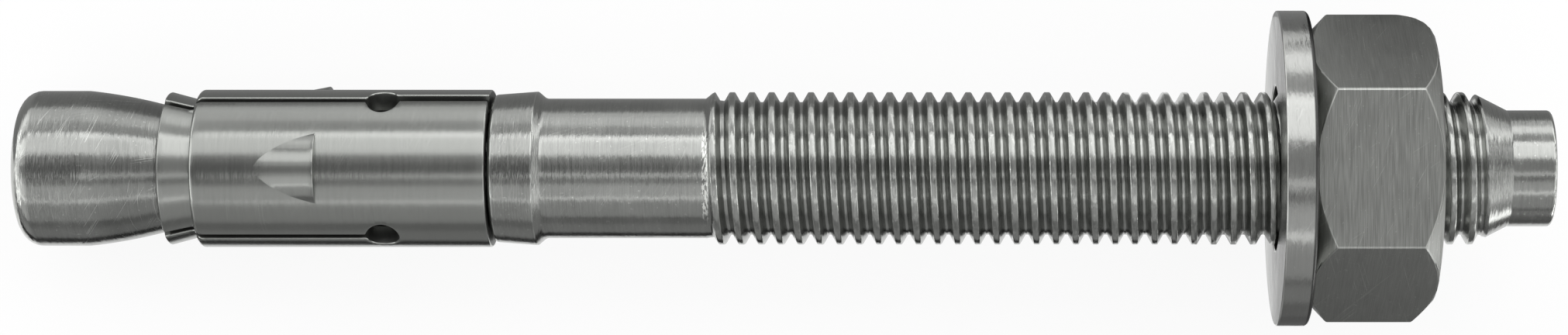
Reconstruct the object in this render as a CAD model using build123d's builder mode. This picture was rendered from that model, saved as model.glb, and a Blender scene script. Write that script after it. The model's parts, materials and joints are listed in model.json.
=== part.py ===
"""Wedge anchor for a 10 mm hole: cone bolt, expansion clip, flat washer and hex nut.

The bolt is turned and rolled from one bar: an expansion cone, a thin neck, a
collar, a plain shank, a threaded length and a hammer pin. A strip of sheet is
rolled around the neck to make the expansion clip. The washer and the nut sit
on the thread.

Every piece is drawn upright, with its axis on +Z and the flat end of the cone
at z = 0. Each length along the axis follows the one before it. The anchor is
then laid on its side, as it rests on a bench: on the edge of the cone and on
the rim of the washer. The thread is drawn as V-shaped grooves around the bolt,
one for every three turns, and the nut's thread as a plain bore.
"""

from build123d import *

import os
from math import atan2, cos, radians, sin, tan

# ---- driving dimensions, in millimetres and degrees ----

# expansion cone: a cylindrical land that flares into the taper
head_radius = 4.925
head_edge_radius = 1.2
head_edge_facets = 3
head_land_length = 4.15
flare_radius = 32
flare_start_angle = 6
cone_angle = 15

# collar, shank, thread and hammer pin
collar_front_radius = 4.675
collar_back_radius = 4.885
collar_length = 2.75
collar_chamfer_length = 0.7
collar_edge_chamfer = 0.2
shank_radius = 4.4375
shank_length = 10.05
thread_radius = 4.86
thread_root_radius = 4.22
thread_flank_angle = 30
thread_length = 48.55
thread_pitch = 1.25
thread_runout = 1.2
turns_per_groove = 3
point_angle = 27
pin_radius = 3.69
pin_length = 2.75
pin_edge_chamfer = 0.25

# expansion clip: a rolled strip, with a thinner lip that lies on the cone
clip_radius = 5
clip_wall = 1.25
clip_length = 18.45
clip_edge_chamfer = 0.15
lip_wall = 0.8
lip_length = 1.98
lip_reach = 1.1
neck_clearance = 0.1
cone_clearance = 0.08
collar_clearance = 0.15

# slots between the clip's segments, their relief holes, and the strip's open seam
segment_count = 3
slot_angle = 60
slot_width = 0.48
slot_length = 11.8
relief_length = 2.05
relief_width = 2.5
seam_width = 0.82
seam_offset = 0.28

# barbs pressed out of the segments, halfway between the slots
barb_position = 7.88
barb_length = 3.85
barb_height = 0.7
barb_radius = 2.6

# nut
nut_flats = 17
nut_height = 7.9
nut_inset = 2.55
nut_chamfer_radius = 8.4
nut_chamfer_angle = 42
nut_mouth_chamfer = 0.45
nut_bore_clearance = 0.06

# washer: wider than the nut's corners by the margin
washer_margin = 0.21
washer_thickness = 2
washer_bore_clearance = 0.39
washer_edge_chamfer = 0.15

# ---- anchor bolt ----

cone_slope = tan(radians(cone_angle))
bore_radius = clip_radius - clip_wall
neck_radius = bore_radius - neck_clearance


def flare_point(angle):
    """Point of the flare where its surface leans by this angle from the axis."""
    start = radians(flare_start_angle)
    lean = radians(angle)
    radius = head_radius - flare_radius * (cos(start) - cos(lean))
    height = head_land_length + flare_radius * (sin(lean) - sin(start))
    return radius, height


cone_top_radius, cone_top = flare_point(cone_angle)
cone_bottom = cone_top + (cone_top_radius - neck_radius) / cone_slope

# the clip starts from the cone, and the collar backs it
lip_corner = cone_bottom - lip_reach
clip_front = lip_corner + lip_length
clip_back = clip_front + clip_length
collar_start = clip_back + collar_clearance
collar_end = collar_start + collar_length
shank_start = collar_end + collar_chamfer_length
thread_start = shank_start + shank_length
thread_end = thread_start + thread_length
point_end = thread_end + (thread_radius - pin_radius) / tan(radians(point_angle))
bolt_length = point_end + pin_length

# the grooves are evenly spaced between the runout and the point
first_crest = thread_start + thread_runout
groove_count = round((thread_end - first_crest) / (turns_per_groove * thread_pitch))
groove_step = (thread_end - first_crest) / groove_count
groove_half_width = (thread_radius - thread_root_radius) * tan(radians(thread_flank_angle))
groove_points = []
for groove in range(groove_count):
    root = first_crest + (groove + 0.5) * groove_step
    groove_points.append((thread_radius, root - groove_half_width))
    groove_points.append((thread_root_radius, root))
    groove_points.append((thread_radius, root + groove_half_width))


def head_edge_point(share):
    """Point of the cone's rounded edge, at a share of the way round it."""
    turn = radians(90) * share
    radius = head_radius - head_edge_radius * (1 - sin(turn))
    return radius, head_edge_radius * (1 - cos(turn))


with BuildPart() as anchor_bolt:
    with BuildSketch(Plane.XZ):
        with BuildLine():
            Polyline(
                (0, 0),
                *[head_edge_point(facet / head_edge_facets) for facet in range(head_edge_facets + 1)],
                (head_radius, head_land_length),
            )
            ThreePointArc(
                (head_radius, head_land_length),
                flare_point((flare_start_angle + cone_angle) / 2),
                (cone_top_radius, cone_top),
            )
            Polyline(
                (cone_top_radius, cone_top),
                (neck_radius, cone_bottom),
                (neck_radius, collar_start),
                (collar_front_radius, collar_start),
                (collar_back_radius, collar_end),
                (shank_radius, shank_start),
                (shank_radius, thread_start),
                (thread_radius, first_crest),
                *groove_points,
                (thread_radius, thread_end),
                (pin_radius, point_end),
                (pin_radius, bolt_length),
                (0, bolt_length),
                (0, 0),
            )
        make_face()
    revolve(axis=Axis.Z)
    rims = anchor_bolt.edges().filter_by(GeomType.CIRCLE).sort_by(Axis.Z)
    chamfer(rims[-1], pin_edge_chamfer)
    chamfer(rims.filter_by(lambda rim: rim.radius == collar_front_radius), collar_edge_chamfer)

# ---- expansion clip ----

lip_lean = radians(cone_angle)
lip_front = lip_corner - lip_wall * sin(lip_lean)
relief_position = clip_front + slot_length
relief_rounding = 0.45 * min(relief_length, relief_width)
barb_edge = clip_front + barb_position
barb_lean = atan2(barb_height, barb_length)
barb_center = clip_radius + barb_height - barb_radius / cos(barb_lean)


def lip_point(height, skin):
    """Point at a height on a surface that runs parallel to the cone, this far outside it."""
    return cone_top_radius - (height - cone_top) * cone_slope + skin / cos(lip_lean), height


bore_start = cone_bottom - (neck_clearance - cone_clearance / cos(lip_lean)) / cone_slope

# a barb is a leaning round bar that rises from the strip towards its cut edge
barb_plane = Plane(
    origin=(barb_center, 0, barb_edge),
    x_dir=(-cos(barb_lean), 0, sin(barb_lean)),
    z_dir=(sin(barb_lean), 0, cos(barb_lean)),
)
with BuildPart() as barb:
    with BuildSketch(barb_plane):
        Circle(barb_radius)
    extrude(amount=barb_length, both=True)
    split(bisect_by=Plane.XY.offset(barb_edge), keep=Keep.BOTTOM)
    # only its outer part is wanted: the root ends within the strip's wall
    with BuildSketch(Plane.XY.offset(barb_edge)):
        Circle(clip_radius - clip_wall / 2)
    extrude(amount=-2 * barb_length, mode=Mode.SUBTRACT)

with BuildPart() as expansion_clip:
    with BuildSketch(Plane.XZ):
        with BuildLine():
            Polyline(
                lip_point(lip_front, cone_clearance),
                lip_point(lip_corner, cone_clearance + lip_wall),
                lip_point(clip_front, cone_clearance + lip_wall),
                (clip_radius, clip_front),
                (clip_radius, clip_back),
                (bore_radius, clip_back),
                (bore_radius, bore_start),
                close=True,
            )
        make_face()
    revolve(axis=Axis.Z)
    rims = expansion_clip.edges().filter_by(GeomType.CIRCLE)
    chamfer(rims.filter_by(lambda rim: rim.radius == clip_radius), clip_edge_chamfer)
    with PolarLocations(0, segment_count):
        add(barb.part)
    for segment in range(segment_count):
        outward = Vector(1, 0, 0).rotate(Axis.Z, slot_angle + 360 / segment_count * segment)
        with BuildSketch(Plane((0, 0, 0), x_dir=(0, 0, 1), z_dir=outward)):
            with Locations((relief_position, 0)):
                RectangleRounded(relief_length, relief_width, relief_rounding)
                Rectangle(relief_position - lip_front, slot_width, align=(Align.MAX, Align.CENTER))
            if segment == segment_count - 1:
                with Locations((relief_position, seam_offset)):
                    Rectangle(clip_back - relief_position, seam_width, align=(Align.MIN, Align.CENTER))
        extrude(amount=clip_radius + barb_height, mode=Mode.SUBTRACT)

# ---- nut ----

nut_face = thread_end - nut_inset - nut_height
nut_bore_radius = thread_radius + nut_bore_clearance
nut_corner_radius = nut_flats / 2 / cos(radians(30))
nut_chamfer_length = (nut_corner_radius - nut_chamfer_radius) * tan(radians(nut_chamfer_angle))

with BuildPart() as hex_nut:
    with BuildSketch(Plane.XY.offset(nut_face)):
        RegularPolygon(nut_flats / 2, 6, major_radius=False, rotation=30)
        Circle(nut_bore_radius, mode=Mode.SUBTRACT)
    extrude(amount=nut_height)
    rims = hex_nut.edges().filter_by(GeomType.CIRCLE)
    chamfer(rims, nut_mouth_chamfer)
    # the corners are turned off at both ends
    with BuildSketch(Plane.XZ):
        with BuildLine():
            Polyline(
                (0, nut_face),
                (nut_chamfer_radius, nut_face),
                (nut_corner_radius, nut_face + nut_chamfer_length),
                (nut_corner_radius, nut_face + nut_height - nut_chamfer_length),
                (nut_chamfer_radius, nut_face + nut_height),
                (0, nut_face + nut_height),
                close=True,
            )
        make_face()
    revolve(axis=Axis.Z, mode=Mode.INTERSECT)

# ---- washer ----

washer_radius = nut_corner_radius + washer_margin
washer_face = nut_face - washer_thickness

with BuildPart() as flat_washer:
    with BuildSketch(Plane.XY.offset(washer_face)):
        Circle(washer_radius)
        Circle(thread_radius + washer_bore_clearance, mode=Mode.SUBTRACT)
    extrude(amount=washer_thickness)
    rims = flat_washer.edges().filter_by(GeomType.CIRCLE)
    chamfer(rims.filter_by(lambda rim: rim.radius == washer_radius), washer_edge_chamfer)

# ---- the anchor lies on its side ----

# the floor touches the land's front edge and the near rim of the washer
land_edge = Vector(head_edge_radius, head_radius)
washer_rim = Vector(washer_face + washer_edge_chamfer, washer_radius)
span = washer_rim - land_edge
lean = atan2(span.Y, span.X)
axis_height = washer_rim.Y * cos(lean) - washer_rim.X * sin(lean)

# the origin is on the floor, below the middle of the anchor's length
cone_reach = (head_radius - head_edge_radius) * sin(lean)
pin_reach = bolt_length * cos(lean) + (pin_radius - pin_edge_chamfer) * sin(lean)
lying = Plane(
    origin=((cone_reach - pin_reach) / 2, 0, axis_height),
    x_dir=(-sin(lean), 0, cos(lean)),
    z_dir=(cos(lean), 0, sin(lean)),
)

os.makedirs("parts", exist_ok=True)
pieces = {
    "anchor_bolt": anchor_bolt,
    "expansion_clip": expansion_clip,
    "hex_nut": hex_nut,
    "flat_washer": flat_washer,
}
for name, piece in pieces.items():
    piece.part.label = name
    piece.part.move(lying.location)
    export_step(piece.part, f"parts/{name}.step")
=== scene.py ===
"""Wedge anchor, dressed for rendering: cone bolt with a rolled thread, expansion clip, washer and nut.

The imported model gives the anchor's axis and the places of its pieces. Each piece is
modelled in the anchor's own frame, with X along the bolt from the flat end of the cone
and Z away from the floor, and is then laid down on its CAD node.
"""

import json
from math import acos, asin, atan2, cos, floor, hypot, pi, radians, sin, sqrt, tan, tau

import bmesh
import bpy
from bpy.props import FloatProperty, FloatVectorProperty, PointerProperty
from bpy.types import Operator, Panel, PropertyGroup
from mathutils import Matrix, Vector
from mathutils.geometry import delaunay_2d_cdt
from mathutils.kdtree import KDTree


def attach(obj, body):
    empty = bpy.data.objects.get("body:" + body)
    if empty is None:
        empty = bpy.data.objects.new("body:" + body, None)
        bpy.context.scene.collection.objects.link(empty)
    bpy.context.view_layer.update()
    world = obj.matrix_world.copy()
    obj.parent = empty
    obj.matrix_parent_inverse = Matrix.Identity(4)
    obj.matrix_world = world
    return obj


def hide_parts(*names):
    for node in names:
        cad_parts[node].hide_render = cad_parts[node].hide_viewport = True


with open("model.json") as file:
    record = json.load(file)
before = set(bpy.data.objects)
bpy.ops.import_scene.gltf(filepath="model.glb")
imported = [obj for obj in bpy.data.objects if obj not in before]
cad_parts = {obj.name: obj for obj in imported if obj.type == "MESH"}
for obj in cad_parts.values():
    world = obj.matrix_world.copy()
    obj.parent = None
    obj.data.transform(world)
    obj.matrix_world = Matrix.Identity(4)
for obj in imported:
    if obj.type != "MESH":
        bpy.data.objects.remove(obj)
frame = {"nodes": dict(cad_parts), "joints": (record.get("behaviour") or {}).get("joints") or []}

bl_info = {
    "name": "Wedge Anchor",
    "version": (1, 0, 0),
    "blender": (4, 5, 0),
    "location": "3D View > Sidebar > Anchor",
    "description": "Makes a wedge anchor with its clip, washer and nut, and the studio it is shown in",
    "category": "Add Mesh",
}

MM = 0.001
# faces round a turned shape
SEGMENTS = 96
# points closer than this are one
MERGE_DISTANCE = 0.0001 * MM
# a number times this is more than it, for sure
ALMOST_MORE = 1.0001
# how much large faces lead the normals of their corners
FLATNESS = 60


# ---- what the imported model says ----


def anchor_frame():
    """Matrix from the anchor's own frame to the row frame."""
    joint = next(j for j in frame["joints"] if j["name"] == "clip_turn")
    pivot = Vector(joint["pos_m"])
    along = Vector(joint["axis"]).normalized()
    across = Vector((0, 1, 0))
    bolt = frame["nodes"]["anchor_bolt"].data
    start = min((vertex.co - pivot).dot(along) for vertex in bolt.vertices)
    turn = Matrix((along, across, along.cross(across))).transposed()
    return Matrix.Translation(pivot + start * along) @ turn.to_4x4()


ANCHOR = anchor_frame()


class Reach:
    """How far a CAD node reaches along the anchor, and its least and greatest radius."""

    def __init__(self, node):
        inverse = ANCHOR.inverted()
        points = [inverse @ vertex.co for vertex in frame["nodes"][node].data.vertices]
        self.start = min(p.x for p in points)
        self.end = max(p.x for p in points)
        self.inner = min(hypot(p.y, p.z) for p in points)
        self.outer = max(hypot(p.y, p.z) for p in points)


BOLT = Reach("anchor_bolt")
CLIP = Reach("expansion_clip")
WASHER = Reach("flat_washer")
NUT = Reach("hex_nut")


# ---- sizes and colours that a user would change ----


def length(name, description, millimetres):
    """A length property, whose default is given in millimetres."""
    settings = {"default": millimetres * MM, "min": 0, "unit": "LENGTH", "precision": 5}
    return FloatProperty(name=name, description=description, **settings)


def angle(name, description, degrees):
    """An angle property, whose default is given in degrees."""
    return FloatProperty(name=name, description=description, default=radians(degrees), subtype="ANGLE")


def level(name, description, default, **limits):
    """A plain number, such as a brightness, where 1 is white."""
    return FloatProperty(name=name, description=description, default=default, min=0, **limits)


def tint(name, description, default):
    """A colour property."""
    settings = {"default": default, "min": 0, "max": 1, "size": 3, "subtype": "COLOR"}
    return FloatVectorProperty(name=name, description=description, **settings)


class ThreadSizes(PropertyGroup):
    """The rolled thread."""

    pitch: length("Pitch", "Advance of the thread in one turn", 1.25)
    crest_radius: length("Crest radius", "Radius over the crests", 4.845)
    root_radius: length("Root radius", "Radius at the bottom of the groove", 4.217)
    crest_flat: length("Crest flat", "Width of the flat on each crest", 0.37)
    root_flat: length("Root flat", "Width of the flat in the groove", 0.21)
    rounding: length("Rounding", "How far each corner of the form is rounded", 0.045)
    first_crest: length("First crest", "Place of one crest on the anchor's top line", 61.55)
    clearance: length("Clearance", "Gap between the bolt's thread and the nut's", 0.05)


class BoltSizes(PropertyGroup):
    """The turned bolt without its thread."""

    head_radius: length("Cone land", "Radius of the cylindrical land on the cone", 4.925)
    head_edge: length("Cone edge", "Rounding of the cone's flat end", 1.2)
    head_land: length("Land length", "Distance from the flat end to the flare", 4.15)
    flare_radius: length("Flare radius", "Radius of the hollow curve of the flare", 32)
    flare_start: angle("Flare start", "Slope where the flare leaves the land", 6)
    cone_angle: angle("Cone angle", "Slope of the taper under the clip", 15)
    neck_radius: length("Neck", "Radius of the neck inside the clip", 3.65)
    collar_start: length("Collar start", "Place of the collar behind the clip", 29.86)
    collar_front: length("Collar front", "Radius of the collar beside the clip", 4.675)
    collar_back: length("Collar back", "Radius of the collar beside the shank", 4.885)
    collar_length: length("Collar length", "Length of the collar", 2.8)
    collar_foot: length("Collar foot", "Rounding between the neck and the collar", 0.1)
    collar_edge: length("Collar edge", "Rounding of the collar beside the clip", 0.34)
    collar_rim: length("Collar rim", "Rounding of the collar's widest line", 0.12)
    collar_chamfer: length("Collar chamfer", "Length of the slope down to the shank", 0.52)
    shank_radius: length("Shank", "Radius of the plain shank", 4.4375)
    shank_foot: length("Shank foot", "Rounding where the collar's slope meets the shank", 0.45)
    thread_start: length("Thread start", "Place where the shank meets the thread", 43.33)
    thread_end: length("Thread end", "Place where the point begins", 91.96)
    point_angle: angle("Point angle", "Slope of the point behind the thread", 27)
    pin_radius: length("Pin", "Radius of the hammer pin", 3.69)
    pin_foot: length("Pin foot", "Rounding where the point meets the hammer pin", 0.12)
    pin_edge: length("Pin edge", "Rounding of the hammer pin's end", 0.25)


class ClipSizes(PropertyGroup):
    """The rolled expansion clip."""

    radius: length("Body", "Outer radius of the rolled body", 5)
    lip_radius: length("Lip", "Outer radius of the lip's front edge", 4.857)
    lip_length: length("Lip length", "Length of the lip along the anchor", 1.98)
    lip_wall: length("Lip wall", "Thickness of the lip", 0.8)
    step_rounding: length("Step rounding", "Rounding of the body's front shoulder", 0.24)
    step_foot: length("Step foot", "Rounding between the lip and the shoulder", 0.1)
    edge: length("Edge", "Rounding of the cut edges", 0.1)
    slot_width: length("Slot", "Width of the slots between the segments", 0.48)
    slot_length: length("Slot length", "Distance from the shoulder to the relief holes' middle", 11.8)
    hole_length: length("Hole length", "Relief hole along the anchor", 2.05)
    hole_width: length("Hole width", "Relief hole around the clip", 2.5)
    seam_width: length("Seam", "Gap where the strip's ends meet", 0.82)
    seam_offset: length("Seam offset", "How far the seam lies to one side of its slot", 0.28)
    barb_position: length("Barb", "Distance from the shoulder to the barbs' cut edge", 7.88)
    barb_length: length("Barb length", "Length of a barb", 3.85)
    barb_height: length("Barb height", "Height of a barb's cut edge", 0.7)
    barb_hollow: level("Barb hollow", "Power of the barbs' rise: 1 is straight, and more is hollow", 1.35)
    barb_radius: length("Barb radius", "Radius of a barb's round back", 2.6)
    barb_rounding: length("Barb rounding", "Rounding of a barb's cut edge", 0.07)


class WasherSizes(PropertyGroup):
    """The stamped washer."""

    near_edge: length("Near edge", "Rounding of the rim on the side of the clip", 0.12)
    far_edge: length("Far edge", "Rounding of the rim on the side of the nut", 0.28)
    bore_edge: length("Bore edge", "Rounding of the bore", 0.1)


class NutSizes(PropertyGroup):
    """The hexagon nut."""

    corner: length("Corner", "Rounding of the six corners", 0.2)
    chamfer_radius: length("Chamfer circle", "Radius where the chamfer meets the face", 8.48)
    chamfer_angle: angle("Chamfer angle", "Slope of the turned corners", 43.5)
    chamfer_edge: length("Chamfer edge", "Rounding along the chamfer", 0.07)
    mouth: length("Mouth", "Countersink of the thread's mouth", 0.48)
    soft_corner: length("Soft corner", "Length of the one corner that the tool left round", 2.4)


class SteelColours(PropertyGroup):
    """Colours of the steel pieces."""

    bolt: tint("Bolt", "Turned steel of the bolt", (0.345, 0.352, 0.338))
    clip: tint("Clip", "Satin sheet of the clip", (0.325, 0.333, 0.318))
    washer: tint("Washer", "Stamped steel of the washer", (0.37, 0.375, 0.362))
    nut: tint("Nut", "Cold formed steel of the nut", (0.3, 0.306, 0.292))
    # dark colour of the thread's groove: oil and dust, and painted shade
    grime: tint("Grime", "Oil and dust in the thread's groove", (0.05, 0.05, 0.047))


class StageSettings(PropertyGroup):
    """The studio and its camera."""

    floor: tint("Floor", "Colour of the floor", (0.95, 0.95, 0.95))
    camera_distance: length("Camera distance", "From the lens to the anchor's axis", 249)
    camera_position: length("Camera position", "Place of the lens along the anchor", 60.53)
    view_middle: length("View middle", "Place on the anchor in the middle of the picture", 48.27)
    view_width: length("View width", "Width of the picture at the anchor's axis", 99.8)
    view_rise: length("View rise", "How far the picture's middle lies above the axis", 0.054)
    lamps: level("Lamps", "Level of all the lamps together", 1.0)
    background: level("Background", "Brightness of the plain background", 1.0)
    fill: level("Fill", "Brightness of the background as a light", 0.4)
    floor_glow: level(
        "Floor glow", "Share of the floor that is plain background", 0.87, max=1, subtype="FACTOR"
    )


class AnchorSettings(PropertyGroup):
    """Everything that can be set."""

    thread: PointerProperty(type=ThreadSizes)
    bolt: PointerProperty(type=BoltSizes)
    clip: PointerProperty(type=ClipSizes)
    washer: PointerProperty(type=WasherSizes)
    nut: PointerProperty(type=NutSizes)
    colours: PointerProperty(type=SteelColours)
    stage: PointerProperty(type=StageSettings)


# ---- node trees ----


def math_node(operation, reflected=False):
    """A method of Socket that adds one Math node. The reflected form swaps its two values."""

    def method(self, *others):
        values = (*others, self) if reflected else (self, *others)
        return self.nodes.out("ShaderNodeMath", {"operation": operation}, dict(enumerate(values)))

    return method


class Socket:
    """A node's output. Sums, products and the like add their Math nodes."""

    def __init__(self, nodes, socket):
        self.nodes = nodes
        self.socket = socket

    __add__ = math_node("ADD")
    __radd__ = math_node("ADD", reflected=True)
    __sub__ = math_node("SUBTRACT")
    __rsub__ = math_node("SUBTRACT", reflected=True)
    __mul__ = math_node("MULTIPLY")
    __rmul__ = math_node("MULTIPLY", reflected=True)
    __truediv__ = math_node("DIVIDE")
    __rtruediv__ = math_node("DIVIDE", reflected=True)
    __pow__ = math_node("POWER")
    __rpow__ = math_node("POWER", reflected=True)
    __abs__ = math_node("ABSOLUTE")
    floor = math_node("FLOOR")
    least = math_node("MINIMUM")
    most = math_node("MAXIMUM")
    sine = math_node("SINE")
    cosine = math_node("COSINE")

    def ramp(self, low, high):
        """0 below low and 1 above high, smooth between them."""
        inputs = {"Value": self, 1: low, 2: high}
        return self.nodes.out("ShaderNodeMapRange", {"interpolation_type": "SMOOTHSTEP"}, inputs)

    def band(self, outer_low, low, high, outer_high):
        """1 between low and high, and 0 outside the outer two, smooth between them."""
        return self.ramp(outer_low, low) * (1 - self.ramp(high, outer_high))


class Nodes:
    """Adds nodes to one tree and links what they read."""

    def __init__(self, tree):
        self.tree = tree

    def add(self, kind, settings=None, inputs=None):
        """One node: its settings come first, then the values or links of its sockets."""
        node = self.tree.nodes.new(kind)
        for name, value in (settings or {}).items():
            if name == "stops":
                self.set_stops(node.color_ramp, value)
            else:
                setattr(node, name, value)
        for name, value in (inputs or {}).items():
            if isinstance(value, Socket):
                self.tree.links.new(value.socket, node.inputs[name])
            else:
                node.inputs[name].default_value = value
        return node

    def out(self, kind, settings=None, inputs=None, output=0):
        """The output of a new node."""
        return Socket(self, self.add(kind, settings, inputs).outputs[output])

    @staticmethod
    def set_stops(ramp, stops):
        """Gives a colour ramp its stops, each a position and a colour."""
        while len(ramp.elements) < len(stops):
            ramp.elements.new(1)
        for element, (position, colour) in zip(ramp.elements, stops):
            element.position = position
            element.color = colour

    def attribute(self, name):
        """A number that the mesh's points carry."""
        return self.out("ShaderNodeAttribute", {"attribute_name": name}, output="Fac")

    def vector(self, x, y, z):
        return self.out("ShaderNodeCombineXYZ", None, {0: x, 1: y, 2: z})

    def split(self, vector):
        """The three numbers of a vector."""
        parts = self.add("ShaderNodeSeparateXYZ", None, {0: vector})
        return [Socket(self, output) for output in parts.outputs]

    def mix_colours(self, factor, first, second, blend="MIX"):
        """A mix of two colours. The sockets of a Mix node are told apart by number."""
        settings = {"data_type": "RGBA", "blend_type": blend}
        return self.out("ShaderNodeMix", settings, {0: factor, 6: first, 7: second}, 2)


def fresh_nodes(owner):
    """The emptied node tree of a material or a world."""
    owner.use_nodes = True
    owner.node_tree.nodes.clear()
    return Nodes(owner.node_tree)


def new_material(name):
    """A material and its emptied node tree."""
    material = bpy.data.materials.new(name)
    return material, fresh_nodes(material)


def new_object(name, data):
    """An object in the scene that shows some data."""
    made = bpy.data.objects.new(name, data)
    bpy.context.collection.objects.link(made)
    return made


# ---- thread, wound by geometry nodes ----

THREAD_INPUTS = {
    "Geometry": "Geometry",
    "Start": "Float",
    "End": "Float",
    "Pitch": "Float",
    "First Crest": "Float",
    "Root Radius": "Float",
    "Crest Radius": "Float",
    "Start Floor": "Vector",
    "End Floor": "Vector",
    "Start Ceiling": "Vector",
    "End Ceiling": "Vector",
    "Material": "Material",
}
# turns of the thread within which the groove sinks from the shank to its full depth
RUNOUT_TURNS = 1.4
# slopes: of the first crests, of the groove's bottom before the point, and of the nut's first groove
CREST_RISE = 0.8
END_FALL = 0.13
MOUTH_FALL = 1
# share of the thread's height that a rounding of its form would take if it were as wide as the flank
BEND_SHARE = 1.2
# added to a row's and a turn's number before it is cut to a whole one, against rounding
ROW_SLACK = 0.01
TURN_SLACK = 0.001
# a taper's radius and slope where it doesn't limit the thread
NO_FLOOR = (0, 0)
NO_CEILING = (1, 0)


def thread_form(sizes):
    """The thread's form over one pitch, from crest to crest: shares of the pitch and of the height."""
    crest = sizes.crest_flat / sizes.pitch / 2
    root = 0.5 - sizes.root_flat / sizes.pitch / 2
    bend = sizes.rounding / sizes.pitch
    # what a rounding takes of the height, with a quarter of it before the corner
    drop = BEND_SHARE * bend / (root - crest)
    half = [(0, 1), (crest - bend, 1), (crest, 1 - drop / 4), (crest + bend, 1 - drop)]
    half += [(root - bend, drop), (root, drop / 4), (root + bend, 0)]
    return half + [(1 - place, height) for place, height in reversed(half)]


def thread_tree(sizes, turns):
    """Geometry nodes that wind a thread.

    The rows of a grid follow the helix, and its columns stand round the axis.
    """
    tree = bpy.data.node_groups.new("Wound thread", "GeometryNodeTree")
    for name, kind in THREAD_INPUTS.items():
        tree.interface.new_socket(name, in_out="INPUT", socket_type="NodeSocket" + kind)
    tree.interface.new_socket("Geometry", in_out="OUTPUT", socket_type="NodeSocketGeometry")
    nodes = Nodes(tree)
    given = nodes.add("NodeGroupInput")
    value = {name: Socket(nodes, given.outputs[name]) for name in THREAD_INPUTS}

    form = thread_form(sizes)
    steps = len(form) - 1
    rows = steps * turns + 1
    grid = nodes.out("GeometryNodeMeshGrid", None, {0: 1, 1: 1, 2: SEGMENTS + 1, 3: rows})
    x, y, _ = nodes.split(nodes.out("GeometryNodeInputPosition"))
    column = x + 0.5
    row = ((y + 0.5) * (rows - 1) + ROW_SLACK).floor()
    turn = (row / steps + TURN_SLACK).floor()
    step = (row - turn * steps) / steps
    stops = [(i / steps, (place, height, 0, 1)) for i, (place, height) in enumerate(form)]
    advance, height, _ = nodes.split(nodes.out("ShaderNodeValToRGB", {"stops": stops}, {0: step}))

    # the rows start a whole turn early, so that the helix covers the start all round
    first = ((value["Start"] - value["First Crest"]) / value["Pitch"]).floor() - 1
    wound = value["First Crest"] + (first + turn + advance + column) * value["Pitch"]
    along = wound.most(value["Start"]).least(value["End"])
    radius = value["Root Radius"] + height * (value["Crest Radius"] - value["Root Radius"])

    def taper(end, kind):
        """The radius of a straight taper: its radius at that end, and its slope from there."""
        start, slope, _ = nodes.split(value[f"{end} {kind}"])
        return start + slope * abs(along - value[end])

    for end in ("Start", "End"):
        radius = radius.most(taper(end, "Floor"))
    for end in ("Start", "End"):
        radius = radius.least(taper(end, "Ceiling"))
    around = column * tau
    position = nodes.vector(along, radius * around.sine() * -1, radius * around.cosine())
    wall = nodes.out("GeometryNodeSetPosition", None, {"Geometry": grid, "Position": position})
    wall = nodes.out("GeometryNodeMergeByDistance", None, {"Geometry": wall, "Distance": MERGE_DISTANCE})
    wall = nodes.out("GeometryNodeRealizeInstances", None, {"Geometry": wall})
    wall = nodes.out("GeometryNodeSetMaterial", None, {"Geometry": wall, "Material": value["Material"]})
    nodes.add("NodeGroupOutput", None, {"Geometry": wall})
    return tree


def wind_thread(sizes, start, end, radii, material, **tapers):
    """A bmesh of the thread between two places on the anchor. A taper is a radius and a slope."""
    tree = thread_tree(sizes, turns=floor((end - start) / sizes.pitch) + 3)
    carrier = new_object("thread carrier", bpy.data.meshes.new("thread carrier"))
    modifier = carrier.modifiers.new("Thread", "NODES")
    modifier.node_group = tree
    given = {"Start": start, "End": end, "Pitch": sizes.pitch, "First Crest": sizes.first_crest}
    given.update({"Root Radius": radii[0], "Crest Radius": radii[1], "Material": material})
    for kind, unlimited in (("Floor", NO_FLOOR), ("Ceiling", NO_CEILING)):
        for side in ("Start", "End"):
            given[f"{side} {kind}"] = (*tapers.get(f"{side}_{kind}".lower(), unlimited), 0)
    sockets = {s.name: s.identifier for s in tree.interface.items_tree if s.in_out == "INPUT"}
    for name, setting in given.items():
        modifier[sockets[name]] = setting
    graph = bpy.context.evaluated_depsgraph_get()
    wound = bpy.data.meshes.new_from_object(carrier.evaluated_get(graph))
    carrier.modifiers.remove(modifier)
    bpy.data.objects.remove(carrier)
    mesh = bmesh.new()
    mesh.from_mesh(wound)
    bpy.data.meshes.remove(wound)
    return mesh


# ---- outlines and surfaces ----


def rounded(corners, closed=False, chord=radians(12)):
    """An outline through corners (x, radius, rounding), with each rounding as short chords.

    Its points are (x, radius, wear and painted light). That value is 1 on outward roundings, which it
    brightens: partly wear from handling, partly a painted highlight.
    """
    count = len(corners)
    outline = []
    for i, (x, r, rounding) in enumerate(corners):
        here = Vector((x, r))
        if rounding == 0 or (not closed and i in (0, count - 1)):
            outline.append(here.to_3d())
            continue
        to_last = (Vector(corners[i - 1][:2]) - here).normalized()
        to_next = (Vector(corners[(i + 1) % count][:2]) - here).normalized()
        half = acos(max(-1, min(1, to_last.dot(to_next)))) / 2
        reach = rounding / tan(half)
        middle = here + (to_last + to_next).normalized() * rounding / sin(half)
        sweep = pi - 2 * half
        steps = max(2, round(sweep / chord))
        start = here + to_last * reach - middle
        outward = to_last.x * to_next.y - to_last.y * to_next.x > 0
        for step in range(steps + 1):
            turn = (-1 if outward else 1) * sweep * step / steps
            point = middle + Matrix.Rotation(turn, 2) @ start
            outline.append(Vector((*point, 1 if outward and 0 < step < steps else 0)))
    return outline


def ring(places, radii, angles=None):
    """Points round the axis, at one place and radius or at their own for each angle."""
    angles = angles or [tau * i / SEGMENTS for i in range(SEGMENTS)]
    if isinstance(places, (int, float)):
        places = [places] * len(angles)
    if isinstance(radii, (int, float)):
        radii = [radii] * len(angles)
    return [Vector((x, -r * sin(a), r * cos(a))) for x, r, a in zip(places, radii, angles)]


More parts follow.
